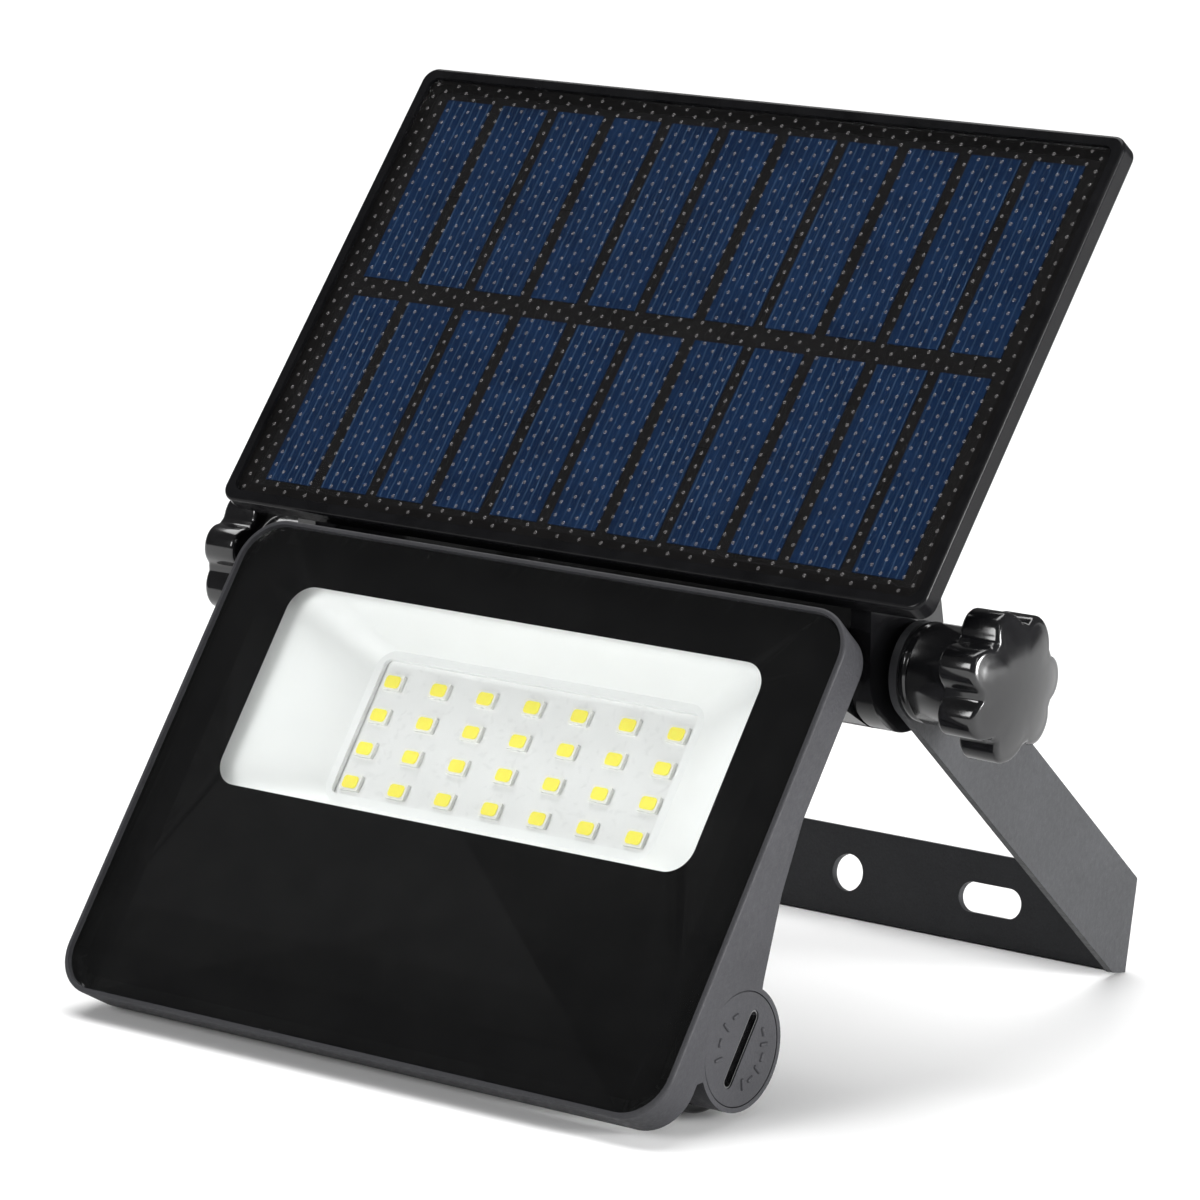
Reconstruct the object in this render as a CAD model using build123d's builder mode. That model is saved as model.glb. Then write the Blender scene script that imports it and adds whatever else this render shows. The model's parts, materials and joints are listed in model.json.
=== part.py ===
"""Solar flood light: a lamp head and a solar panel on one hinge line, carried by a steel U bracket.

Frame: millimetres, +Z up, +X to the right of someone facing the lamp, the lamp shines towards -Y.
The origin is on the ground, under the middle of the light as it stands on its battery tube and bracket.
"""
import os
from math import asin, cos, degrees, radians, sin, sqrt, tan

from build123d import *

os.makedirs("parts", exist_ok=True)

# ---------------------------------------------------------------- driving dimensions
# Lamp head, seen square on: across X, up the face (v) and out of the face (n). n = 0 is the rim.
head_tilt = 35.4              # face reclined from upright, degrees
head_width = 140.0
head_top = 46.85              # from v = 0 up to the top edge
head_foot = 49.65             # and down to the bottom edge
head_corner = 9.0
band_depth = 8.0              # rim to the back of the shallow band
band_draft = 7.0
rim_wall = 1.0
wall = 1.8

tray_width = 120.0            # deep tray behind the lamp board
tray_height = 58.0
tray_v = 13.0
tray_depth = 17.4
tray_floor = 2.2
tray_top = tray_v + tray_height / 2
fin_count = 11
fin_pitch = 8.0
fin_thick = 1.8
fin_height = 2.6
fin_length = 32.0
fin_v = 18.0

# Front glass and the printed border behind it
glass_thick = 2.0
glass_inset = 0.5
print_thick = 0.1
gasket_thick = 0.8
gasket_width = 3.0
fit_gap = 0.15
window_width = 109.3
window_height = 40.3
window_v = 15.1
window_corner = 5.0

# Lamp board: rows and columns of surface mount packages
led_columns = 7
led_rows = 4
led_pitch_x = 10.97
led_pitch_v = 6.76
led_v = 13.4
led_size = (4.4, 3.2, 0.75)
phosphor_size = (3.4, 2.4, 0.12)
board_size = (96.0, 36.0, 1.4)
opening_width = 72.6
opening_height = 27.2
opening_v = 14.2
reflector_mouth = (113.0, 44.0)
reflector_foot = (76.0, 30.6)
reflector_wall = 1.4
reflector_lip = 1.0

# Battery tube, low on the back of the head
tube_v = -28.8
tube_n = -15.8
tube_radius = 12.5
tube_bore = 9.7
tube_half = 62.0
tube_flat_n = -5.3
cell_radius = 9.15
cell_length = 50.0
cheek_outer = 69.0
cheek_inner = 62.3
cheek_radius = 11.0
cap_radius = 10.0
cap_face = 69.0
coin_slot = (14.6, 2.5, 1.7)  # length, width and depth
slot_liner = 0.35
slot_floor = 0.6

# Switch button and cable gland, side by side on the back of the head below the fins
service_x = 34.0
service_v = -8.7
switch_bore = 3.6
button_radius = 3.5
button_stand = 2.4
button_travel = 1.2
gland_thread = 3.8
gland_radius = 5.6

# Charge controller, on two posts below the lamp board; the switch hangs under its right end
controller_v = -8.8
controller_n = -11.4
controller_size = (68.0, 7.0, 1.2)
controller_x = 6.0
post_x = 22.0
post_radius = 1.7

# Hinge line, behind the top edge of the head
pivot_v = 47.1
pivot_n = -23.5
ear_radius = 11.3
bolt_radius = 3.0
running_gap = 0.06
barrel_half = 61.3            # half length of the hinge barrel on the back of the head
barrel_wall = 2.3
barrel_end = 7.3
barrel_foot = (8.0, 5.0)      # where the barrel meets the back of the band
barrel_foot_v = 39.0
barrel_foot_n = -9.5
barrel_mouth = 6.0
washer_thick = 0.4
panel_ear = (62.0, 66.3)       # inner and outer face of the ears on the panel

# Star knobs
knob_inner = 70.3
knob_neck_radius = 8.9
knob_grip_start = 81.4
knob_face = 91.3
knob_radius = 14.0
knob_lobe = 3.8
knob_lobes = 7
knob_dome = 2.6

# Solar panel: across X, up the panel (v) from its lower front edge, out of its face (n)
panel_lean = 3.1              # reclined this much more than the head
panel_v0 = 49.45              # lower front edge, in the head's own v and n
panel_n0 = -1.0
panel_width = 162.0
panel_height = 96.4
panel_corner = 3.0
frame_depth = 4.2
frame_rim = 2.2
frame_floor = 1.0
sheet_inset = 0.6
sheet_thick = 1.2
backing_thick = 1.0
cell_columns = 11
cell_pitch = 13.62
cell_width = 10.9
lower_row = (5.9, 46.4)
upper_row = (50.7, 90.4)
solar_cell_thick = 0.2
ribbon_thick = 0.15
cover_width = 146.0
cover_height = 80.0
cover_v = 49.0
cover_depth = 5.0
cover_wall = 1.6

# Bracket: one 1.5 mm steel strip, bent into a U whose arms flare towards the hinge
steel = 1.5
bend_radius = 0.9
bar_half = 65.0
bar_tilt = 11.0
bar_height = 17.1
bar_back_y = 72.3             # lower rear edge of the bar, behind the hinge line
arm_half_width = 8.8
arm_rise = 29.4               # arm against the bar's normal, degrees
arm_outer_at_pivot = 69.5
hole_radius = 3.6
hole_up = 8.4
slot_x = 33.5
slot_width = 5.8
slot_length = 14.4


head_height = head_top + head_foot
head_mid_v = (head_top - head_foot) / 2


# ---------------------------------------------------------------- planes and places
def up_of(tilt):
    return Vector(0, sin(radians(tilt)), cos(radians(tilt)))


def out_of(tilt):
    return Vector(0, -cos(radians(tilt)), sin(radians(tilt)))


head_up = up_of(head_tilt)
head_out = out_of(head_tilt)
panel_tilt = head_tilt + panel_lean
panel_up = up_of(panel_tilt)
panel_out = out_of(panel_tilt)

bar_up = up_of(bar_tilt)
bar_out = out_of(bar_tilt)

# The tube's lowest line and the bar's lower edge both stand on the ground, z = 0. The model is centred in Y.
tube_from_pivot = head_up * (tube_v - pivot_v) + head_out * (tube_n - pivot_n)
rim_from_pivot = head_up * (-head_foot - pivot_v) + head_out * (0 - pivot_n)
pivot_z = tube_radius - tube_from_pivot.Z
pivot_y = -(rim_from_pivot.Y + bar_back_y + bar_height * bar_up.Y) / 2
pivot = Vector(0, pivot_y, pivot_z)
head_centre = pivot - head_up * pivot_v - head_out * pivot_n
panel_corner_line = head_centre + head_up * panel_v0 + head_out * panel_n0
bar_foot = Vector(0, pivot_y + bar_back_y, 0)

head_face = Plane(origin=head_centre, x_dir=(1, 0, 0), z_dir=head_out)
panel_face = Plane(origin=panel_corner_line, x_dir=(1, 0, 0), z_dir=panel_out)


def head_side(x):
    """Plane across the head at X = x, whose sketch coordinates are (v, n)."""
    return Plane(origin=head_centre + Vector(x, 0, 0), x_dir=head_up, z_dir=(1, 0, 0))


def panel_side(x):
    """Plane across the panel at X = x, whose sketch coordinates are the panel's (v, n)."""
    return Plane(origin=panel_corner_line + Vector(x, 0, 0), x_dir=panel_up, z_dir=(1, 0, 0))


def hinge_plane(x):
    """Plane across the hinge line at X = x, centred on it."""
    return Plane(origin=pivot + Vector(x, 0, 0), x_dir=head_up, z_dir=(1, 0, 0))


def tube_plane(x):
    """Plane across the battery tube at X = x, centred on it, with local X up the head."""
    centre = head_centre + head_up * tube_v + head_out * tube_n
    return Plane(origin=centre + Vector(x, 0, 0), x_dir=head_up, z_dir=(1, 0, 0))


def pivot_in_panel():
    """The hinge line's (v, n) in the panel's own coordinates."""
    offset = pivot - panel_corner_line
    return offset.dot(panel_up), offset.dot(panel_out)


def save(part, name):
    part.label = name
    export_step(part, f"parts/{name}.step")


led_grid = (led_pitch_x, led_pitch_v, led_columns, led_rows)
back_n = -tray_depth
mask_n = -glass_inset - glass_thick
ledge_n = mask_n - print_thick - gasket_thick
board_n = -(tray_depth - tray_floor) + board_size[2]

# ---------------------------------------------------------------- lamp housing
seat_edge = 2 * (rim_wall + gasket_width)
band_cavity = (head_width - seat_edge, head_height - seat_edge)
tube_box_top = tube_flat_n + 1.1
tube_clear = 0.1
cheek_top = ((13, -5), (11, -8.0), (-2, -10.2), (-16.6, -14.6), (-20, -16))
cheek_foot = ((-34, -14), (-39.5, -7), (-40, -5))

with BuildPart() as housing:
    with BuildSketch(head_face):
        with Locations((0, head_mid_v)):
            RectangleRounded(head_width, head_height, head_corner)
    extrude(amount=-band_depth, taper=band_draft)
    fillet(housing.faces().sort_by(Axis(head_centre, head_out))[-1].edges(), 0.5)
    # deep tray, its cooling fins and the shelf over the battery tube
    with BuildSketch(head_face.offset(-band_depth + 1)):
        with Locations((0, tray_v)):
            RectangleRounded(tray_width, tray_height, 7)
    extrude(amount=-(tray_depth - band_depth + 1), taper=5)
    with BuildSketch(head_face.offset(-tray_depth + 0.4)):
        with Locations((0, fin_v)):
            with GridLocations(fin_pitch, 1, fin_count, 1):
                RectangleRounded(fin_thick, fin_length, 0.8)
    extrude(amount=-(fin_height + 0.4))
    # cheeks that close the ends of the battery tube
    for side in (-1, 1):
        with BuildSketch(head_side(side * cheek_outer)):
            with Locations((tube_v, tube_n)):
                Circle(cheek_radius)
            Polygon(*cheek_top, *cheek_foot, align=None)
        extrude(amount=-side * (cheek_outer - cheek_inner))
    # glass seat, shallow cavity and tray cavity
    with BuildSketch(head_face):
        with Locations((0, head_mid_v)):
            RectangleRounded(head_width - 2 * rim_wall, head_height - 2 * rim_wall, head_corner - rim_wall)
    extrude(amount=ledge_n, mode=Mode.SUBTRACT)
    with BuildSketch(head_face):
        with Locations((0, head_mid_v)):
            RectangleRounded(*band_cavity, head_corner - rim_wall - gasket_width)
    extrude(amount=-band_depth + wall, mode=Mode.SUBTRACT)
    with BuildSketch(head_face):
        with Locations((0, tray_v)):
            RectangleRounded(tray_width - 2 * wall - 3, tray_height - 2 * wall - 3, 5)
    extrude(amount=-(tray_depth - tray_floor), mode=Mode.SUBTRACT)
    # posts for the charge controller
    with BuildSketch(head_face.offset(back_n + tray_floor)):
        with Locations((-post_x, controller_v), (post_x, controller_v)):
            Circle(post_radius)
    extrude(amount=controller_n - controller_size[2] + tray_depth - tray_floor)
    # shelf over the tube, then the tube's own place
    with BuildSketch(head_face.offset(tube_box_top)):
        with Locations((0, tube_v)):
            Rectangle(2 * cheek_inner + 2, 2 * tube_radius + 3)
    extrude(amount=-(band_depth + tube_box_top))
    with BuildSketch(tube_plane(-cheek_inner)):
        Circle(tube_radius + tube_clear)
        with Locations((0, tube_flat_n - tube_n + tube_clear + tube_radius)):
            Rectangle(4 * tube_radius, 2 * tube_radius, mode=Mode.SUBTRACT)
    extrude(amount=2 * cheek_inner, mode=Mode.SUBTRACT)
    # bores: cap, switch button and cable gland
    with BuildSketch(tube_plane(cheek_inner - 1)):
        Circle(cap_radius + 0.12)
    extrude(amount=cheek_outer - cheek_inner + 2, mode=Mode.SUBTRACT)
    with BuildSketch(head_face.offset(-tray_depth - 1)):
        with Locations((service_x, service_v)):
            Circle(switch_bore)
        with Locations((-service_x, service_v)):
            Circle(gland_thread)
    extrude(amount=tray_floor + 2, mode=Mode.SUBTRACT)
save(housing.part, "head_housing")

# Hinge barrel, bonded on the back of the tray: a hollow beam along the hinge line with closed ends
with BuildPart() as barrel:
    with BuildSketch(head_side(-barrel_half)):
        with Locations((pivot_v, pivot_n)):
            Circle(ear_radius)
        with Locations((barrel_foot_v, barrel_foot_n)):
            Rectangle(*barrel_foot)
        make_hull()
    extrude(amount=2 * barrel_half)
    # hollow, and open towards the tray
    with BuildSketch(head_side(-barrel_half + barrel_end)):
        with Locations((pivot_v, pivot_n)):
            Circle(ear_radius - barrel_wall)
        with Locations((tray_top, -tray_depth)):
            Rectangle(barrel_mouth, 2 * barrel_mouth)
    extrude(amount=2 * (barrel_half - barrel_end), mode=Mode.SUBTRACT)
    # seated on the outside of the band and the tray
    add(housing.part, mode=Mode.SUBTRACT)
    with BuildSketch(head_face.offset(-band_depth + 1)):
        with Locations((0, tray_v)):
            RectangleRounded(tray_width, tray_height, 7)
    extrude(amount=-(tray_depth - band_depth + 1), taper=5, mode=Mode.SUBTRACT)
    with BuildSketch(hinge_plane(-barrel_half - 1)):
        Circle(bolt_radius)
    extrude(amount=2 * barrel_half + 2, mode=Mode.SUBTRACT)
save(barrel.part, "hinge_barrel")

# ---------------------------------------------------------------- front glass, printed border, gasket
glass_outline = (head_width - 2 * rim_wall - 2 * fit_gap, head_height - 2 * rim_wall - 2 * fit_gap)
glass_corner = head_corner - rim_wall - fit_gap

with BuildPart() as glass:
    with BuildSketch(head_face.offset(-glass_inset)):
        with Locations((0, head_mid_v)):
            RectangleRounded(*glass_outline, glass_corner)
    extrude(amount=-glass_thick)
    chamfer(glass.faces().sort_by(Axis(head_centre, head_out))[-1].edges(), 0.35)
save(glass.part, "front_glass")

with BuildPart() as border:
    with BuildSketch(head_face.offset(mask_n)):
        with Locations((0, head_mid_v)):
            RectangleRounded(*glass_outline, glass_corner)
        with Locations((0, window_v)):
            RectangleRounded(window_width, window_height, window_corner, mode=Mode.SUBTRACT)
    extrude(amount=-print_thick)
save(border.part, "glass_border")

with BuildPart() as gasket:
    with BuildSketch(head_face.offset(ledge_n)):
        with Locations((0, head_mid_v)):
            RectangleRounded(*glass_outline, glass_corner)
            RectangleRounded(*band_cavity, glass_corner - gasket_width, mode=Mode.SUBTRACT)
    extrude(amount=gasket_thick)
save(gasket.part, "glass_gasket")

# ---------------------------------------------------------------- reflector
reflector_top = tube_box_top - 0.1
reflector_bottom = board_n + 0.05

with BuildPart() as reflector:
    for grow, top, foot, mode in (
        (reflector_wall, reflector_top, reflector_bottom, Mode.ADD),
        (0, reflector_top + 0.01, reflector_bottom + reflector_lip, Mode.SUBTRACT),
    ):
        with BuildSketch(head_face.offset(top)):
            with Locations((0, window_v)):
                RectangleRounded(reflector_mouth[0] + 2 * grow, reflector_mouth[1] + 2 * grow, 6)
        with BuildSketch(head_face.offset(foot)):
            with Locations((0, opening_v)):
                RectangleRounded(reflector_foot[0] + 2 * grow, reflector_foot[1] + 2 * grow, 4)
        loft(mode=mode)
    with BuildSketch(head_face.offset(reflector_bottom - 0.5)):
        with Locations((0, opening_v)):
            RectangleRounded(opening_width, opening_height, 1.2)
    extrude(amount=reflector_lip + 1, mode=Mode.SUBTRACT)
save(reflector.part, "reflector")

# ---------------------------------------------------------------- lamp board
screw_x = 45.0
screw_v = 12.0
pad_thick = 0.4

with BuildPart() as lamp_board:
    with BuildSketch(head_face.offset(board_n)):
        with Locations((0, led_v)):
            RectangleRounded(board_size[0], board_size[1], 2)
            with GridLocations(2 * screw_x, 2 * screw_v, 2, 2):
                Circle(1.3, mode=Mode.SUBTRACT)
    extrude(amount=-board_size[2] + pad_thick)
save(lamp_board.part, "led_board")

with BuildPart() as thermal_pad:
    with BuildSketch(head_face.offset(board_n - board_size[2])):
        with Locations((0, led_v)):
            RectangleRounded(board_size[0] - 14, board_size[1] - 8, 1)
    extrude(amount=pad_thick)
save(thermal_pad.part, "thermal_pad")

with BuildPart() as packages:
    with BuildSketch(head_face.offset(board_n)):
        with Locations((0, led_v)):
            with GridLocations(*led_grid):
                RectangleRounded(led_size[0], led_size[1], 0.3)
    extrude(amount=led_size[2])
save(packages.part, "led_packages")

with BuildPart() as phosphors:
    with BuildSketch(head_face.offset(board_n + led_size[2])):
        with Locations((0, led_v)):
            with GridLocations(*led_grid):
                RectangleRounded(phosphor_size[0], phosphor_size[1], 0.7)
    extrude(amount=phosphor_size[2])
save(phosphors.part, "led_phosphors")

with BuildPart() as board_screws:
    with BuildSketch(head_face.offset(board_n)):
        with Locations((0, led_v)):
            with GridLocations(2 * screw_x, 2 * screw_v, 2, 2):
                Circle(2.1)
    extrude(amount=1.2)
    with BuildSketch(head_face.offset(board_n)):
        with Locations((0, led_v)):
            with GridLocations(2 * screw_x, 2 * screw_v, 2, 2):
                Circle(1.2)
    extrude(amount=-board_size[2] + pad_thick)
save(board_screws.part, "board_screws")

# ---------------------------------------------------------------- charge controller, below the lamp board
pin_radius = 0.55
link_v = controller_v + controller_size[1] / 2 + pin_radius + 0.02

with BuildPart() as controller:
    with BuildSketch(head_face.offset(controller_n)):
        with Locations((controller_x, controller_v)):
            RectangleRounded(controller_size[0], controller_size[1], 0.8)
        with Locations((-post_x, controller_v), (post_x, controller_v)):
            Circle(0.8, mode=Mode.SUBTRACT)
    extrude(amount=-controller_size[2])
save(controller.part, "controller_board")

with BuildPart() as controller_screws:
    with BuildSketch(head_face.offset(controller_n)):
        with Locations((-post_x, controller_v), (post_x, controller_v)):
            Circle(1.4)
    extrude(amount=0.9)
    with BuildSketch(head_face.offset(controller_n)):
        with Locations((-post_x, controller_v), (post_x, controller_v)):
            Circle(0.75)
    extrude(amount=-controller_size[2])
save(controller_screws.part, "controller_screws")

# X, width, height and thickness of each component
components = ((-16, 4, 4, 2.2), (-9, 5, 4, 1.5), (0, 7, 4.4, 1.2), (8, 3, 3, 1), (16, 6, 4, 2.6))
with BuildPart() as controller_parts:
    for x, width, height, tall in components:
        with BuildSketch(head_face.offset(controller_n)):
            with Locations((x, controller_v)):
                Rectangle(width, height)
        extrude(amount=tall)
save(controller_parts.part, "controller_parts")

with BuildPart() as link_pins:
    with BuildSketch(head_face.offset(controller_n - 0.3)):
        with Locations((-14, link_v), (14, link_v)):
            with GridLocations(2.5, 1, 2, 1):
                Circle(pin_radius)
    extrude(amount=board_n - controller_n + 0.3)
save(link_pins.part, "board_link_pins")

# ---------------------------------------------------------------- battery tube, cells, cap
cell_start = tube_half - 10 - 2 * cell_length


def tube_ring(name, start, length, outer, inner=0.0):
    """A disc or ring on the battery tube's axis, from X = start, saved under its name."""
    with BuildPart() as ring:
        with BuildSketch(tube_plane(start)):
            Circle(outer)
            if inner:
                Circle(inner, mode=Mode.SUBTRACT)
        extrude(amount=length)
    save(ring.part, name)


with BuildPart() as tube:
    with BuildSketch(tube_plane(-tube_half)):
        Circle(tube_radius)
        with Locations((0, tube_flat_n - tube_n + tube_radius)):
            Rectangle(4 * tube_radius, 2 * tube_radius, mode=Mode.SUBTRACT)
    extrude(amount=2 * tube_half)
    fillet(tube.edges().filter_by(GeomType.CIRCLE), 1.2)
    with BuildSketch(tube_plane(-tube_half + 2.0)):
        Circle(tube_bore)
    extrude(amount=2 * tube_half, mode=Mode.SUBTRACT)
save(tube.part, "battery_tube")

with BuildPart() as cells:
    for start in (cell_start, cell_start + cell_length):
        with BuildSketch(tube_plane(start)):
            Circle(cell_radius)
        extrude(amount=cell_length - 1.6)
        with BuildSketch(tube_plane(start + cell_length - 1.6)):
            Circle(2.8)
        extrude(amount=1.5)
save(cells.part, "battery_cells")

tube_ring("battery_contact", -tube_half + 2.0, 0.4, 8.5)

spring_wire = 0.45
spring_turns = 4
spring_gap = cell_start - (-tube_half + 2.4)
with BuildPart() as spring:
    with BuildLine():
        coil = Helix(
            pitch=(spring_gap - 2 * spring_wire) / spring_turns,
            height=spring_gap - 2 * spring_wire,
            radius=5,
            center=tube_plane(-tube_half + 2.4 + spring_wire).origin,
            direction=(1, 0, 0),
        )
    with BuildSketch(Plane(origin=coil @ 0, z_dir=coil % 0)):
        Circle(spring_wire)
    sweep(is_frenet=True)
save(spring.part, "battery_spring")

cap_plug = 9.4
plug_start = cell_start + 2 * cell_length + 0.8
with BuildPart() as cap:
    with BuildSketch(tube_plane(plug_start)):
        Circle(cap_plug)
    extrude(amount=tube_half + 0.2 - plug_start)
    with BuildSketch(tube_plane(tube_half + 0.2)):
        Circle(cap_radius)
    extrude(amount=cap_face - tube_half - 0.2)
    fillet(cap.edges().filter_by(GeomType.CIRCLE).sort_by(Axis.X)[-1], 0.2)
    # coin slot, along the head's own up direction
    with BuildSketch(tube_plane(cap_face)):
        SlotOverall(coin_slot[0], coin_slot[1])
    extrude(amount=-coin_slot[2] - slot_floor, mode=Mode.SUBTRACT)
    # groove for the seal
    with BuildSketch(tube_plane(tube_half - 4)):
        Circle(cap_plug + 1)
        Circle(cap_plug - 0.9, mode=Mode.SUBTRACT)
    extrude(amount=1.6, mode=Mode.SUBTRACT)
save(cap.part, "battery_cap")

# Plated liner that protects the slot from the coin
with BuildPart() as cap_insert:
    with BuildSketch(tube_plane(cap_face - coin_slot[2] - slot_floor)):
        SlotOverall(coin_slot[0] - 0.04, coin_slot[1] - 0.04)
    extrude(amount=coin_slot[2] + slot_floor - 0.15)
    with BuildSketch(tube_plane(cap_face - coin_slot[2])):
        SlotOverall(coin_slot[0] - 2 * slot_liner, coin_slot[1] - 2 * slot_liner)
    extrude(amount=coin_slot[2], mode=Mode.SUBTRACT)
save(cap_insert.part, "cap_insert")

tube_ring("cap_seal", tube_half - 3.95, 1.5, tube_bore - 0.02, cap_plug - 0.85)
tube_ring("cap_contact", plug_start - 0.4, 0.4, 4.0)

# ---------------------------------------------------------------- switch and gland on the back of the head
def on_back(x, v, start, length, outer, inner=0.0, hexagon=False):
    """A round or hexagonal piece on the back of the head, from n = start rearwards."""
    with BuildPart() as piece:
        with BuildSketch(head_face.offset(start)):
            with Locations((x, v)):
                if hexagon:
                    RegularPolygon(outer, 6)
                else:
                    Circle(outer)
                if inner:
                    Circle(inner, mode=Mode.SUBTRACT)
        extrude(amount=-length)
    return piece.part


inside_n = back_n + tray_floor
switch_top = controller_n - controller_size[2]
switch_bottom = inside_n + button_travel + 0.3
save(on_back(service_x, service_v, switch_top, switch_top - switch_bottom, 2.8), "switch_body")
with BuildPart() as button:
    with BuildSketch(head_face.offset(inside_n)):
        with Locations((service_x, service_v)):
            Circle(button_radius)
    extrude(amount=-(tray_floor + button_stand))
    fillet(button.faces().sort_by(Axis(head_centre, head_out))[0].edges(), 0.9)
save(button.part, "switch_button")
save(on_back(service_x, service_v, back_n, 1.4, 5.4, switch_bore + 0.2), "switch_collar")
gland_bore = 2.2
gland_length = tray_floor + 3.5
save(on_back(-service_x, service_v, inside_n + 1.5, gland_length, gland_thread, gland_bore), "gland_body")
save(on_back(-service_x, service_v, back_n, 1.8, gland_radius, gland_thread, hexagon=True), "gland_flange")
save(on_back(-service_x, service_v, back_n - 2.0, 5.0, 4.9, gland_bore), "gland_nut")

# ---------------------------------------------------------------- hinge bolts, washers and star knobs
bolt_start = 50.0
bolt_head = 4.0
bolt_end = 79.0
insert_radius = 4.4

with BuildPart() as bolts:
    for side in (-1, 1):
        with BuildSketch(hinge_plane(side * bolt_start)):
            RegularPolygon(5.8, 6)
        extrude(amount=side * bolt_head)
        with BuildSketch(hinge_plane(side * (bolt_start + bolt_head))):
            Circle(bolt_radius)
        extrude(amount=side * (bolt_end - bolt_start - bolt_head))
save(bolts.part, "hinge_bolts")

with BuildPart() as washers:
    for side in (-1, 1):
        with BuildSketch(hinge_plane(side * barrel_half)):
            Circle(ear_radius - 1.5)
            Circle(bolt_radius, mode=Mode.SUBTRACT)
        extrude(amount=side * washer_thick)
save(washers.part, "hinge_washers")

lobe_centre = knob_radius - knob_lobe
for side, name, knob_turn in ((-1, "left", -1), (1, "right", -3)):
    with BuildPart() as knob:
        with BuildSketch(hinge_plane(side * knob_inner)):
            Circle(knob_neck_radius)
        extrude(amount=side * (knob_grip_start - knob_inner + 0.5))
        with BuildSketch(hinge_plane(side * knob_grip_start)) as star:
            Circle(lobe_centre + 1.1)
            with PolarLocations(lobe_centre, knob_lobes, start_angle=knob_turn):
                Circle(knob_lobe)
            fillet(star.vertices(), 0.9)
        extrude(amount=side * (knob_face - knob_grip_start))
        # the front face is a shallow dome
        dome = (knob_radius**2 + knob_dome**2) / (2 * knob_dome)
        with BuildSketch(Plane(origin=pivot, x_dir=(1, 0, 0), z_dir=head_out)):
            with BuildLine():
                edge = side * (knob_face - knob_dome)
                halfway = side * (knob_face - dome + sqrt(dome**2 - knob_radius**2 / 4))
                beyond = side * (knob_face + 2)
                rim = Line((edge, knob_radius + 1), (edge, knob_radius))
                arc = ThreePointArc((edge, knob_radius), (halfway, knob_radius / 2), (side * knob_face, 0))
                Polyline(arc @ 1, (beyond, 0), (beyond, knob_radius + 1), rim @ 0)
            make_face()
        revolve(axis=Axis(pivot, (1, 0, 0)), mode=Mode.SUBTRACT)
        with BuildSketch(hinge_plane(side * (knob_inner - 1))):
            Circle(insert_radius)
        extrude(amount=side * (bolt_end + 3 - knob_inner), mode=Mode.SUBTRACT)
    save(knob.part, name + "_knob")
    with BuildPart() as insert:
        with BuildSketch(hinge_plane(side * (knob_inner + 0.4))):
            Circle(insert_radius)
            Circle(bolt_radius + running_gap, mode=Mode.SUBTRACT)
        extrude(amount=side * (bolt_end + 1 - knob_inner))
    save(insert.part, name + "_knob_insert")

# ---------------------------------------------------------------- solar panel: frame and back cover
panel_middle = panel_height / 2
pivot_pv, pivot_pn = pivot_in_panel()
pocket = (panel_width - 2 * frame_rim, panel_height - 2 * frame_rim)

with BuildPart() as frame:
    with BuildSketch(panel_face):
        with Locations((0, panel_middle)):
            RectangleRounded(panel_width, panel_height, panel_corner)
    extrude(amount=-frame_depth)
    fillet(frame.faces().sort_by(Axis(panel_corner_line, panel_out))[-1].edges(), 0.7)
    fillet(frame.faces().sort_by(Axis(panel_corner_line, panel_out))[0].edges(), 0.5)
    with BuildSketch(panel_face):
        with Locations((0, panel_middle)):
            RectangleRounded(*pocket, panel_corner - 1)
    extrude(amount=-frame_depth + frame_floor, mode=Mode.SUBTRACT)
    # open floor behind the cells, for the leads and the junction board
    with BuildSketch(panel_face):
        with Locations((0, cover_v)):
            RectangleRounded(cover_width - 16, cover_height - 16, 4)
    extrude(amount=-frame_depth - 1, mode=Mode.SUBTRACT)
save(frame.part, "panel_frame")

screw_spread = (cover_width - 12, cover_height - 12)
panel_gland_v = cover_v - 24
with BuildPart() as cover:
    with BuildSketch(panel_face.offset(-frame_depth)):
        with Locations((0, cover_v)):
            RectangleRounded(cover_width, cover_height, 6)
    extrude(amount=-cover_depth, taper=18)
    fillet(cover.faces().sort_by(Axis(panel_corner_line, panel_out))[0].edges(), 1.2)
    # two stiffening ribs across the back
    for v in (cover_v - 14, cover_v + 14):
        with BuildSketch(panel_face.offset(-frame_depth - cover_depth + 0.3)):
            with Locations((0, v)):
                SlotOverall(cover_width - 34, 3.2)
        extrude(amount=-1.1)
    # panel ears, outside the head's ears
    for side in (-1, 1):
        with BuildSketch(panel_side(side * panel_ear[1])):
            with Locations((pivot_pv, pivot_pn)):
                Circle(ear_radius)
            with Locations((16, -frame_depth - 1)):
                Rectangle(24, 2)
            make_hull()
        extrude(amount=-side * (panel_ear[1] - panel_ear[0]))
    with BuildSketch(panel_face.offset(-frame_depth)):
        with Locations((0, cover_v)):
            RectangleRounded(cover_width - 22, cover_height - 22, 4)
    extrude(amount=-cover_depth + cover_wall, mode=Mode.SUBTRACT)
    with BuildSketch(hinge_plane(-panel_ear[1] - 1)):
        Circle(bolt_radius + running_gap)
    extrude(amount=2 * panel_ear[1] + 2, mode=Mode.SUBTRACT)
    # screw seats and the lead's outlet
    with BuildSketch(panel_face.offset(-frame_depth - cover_depth - 3)):
        with Locations((0, cover_v)):
            with GridLocations(screw_spread[0] / 2, screw_spread[1], 3, 2):
                Circle(2.6)
    extrude(amount=6.2, mode=Mode.SUBTRACT)
    with BuildSketch(panel_face.offset(-frame_depth)):
        with Locations((0, cover_v)):
            with GridLocations(screw_spread[0] / 2, screw_spread[1], 3, 2):
                Circle(1.1)
            with Locations((-service_x, panel_gland_v - cover_v)):
                Circle(gland_thread)
    extrude(amount=-cover_depth - 2, mode=Mode.SUBTRACT)
save(cover.part, "panel_back_cover")

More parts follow.
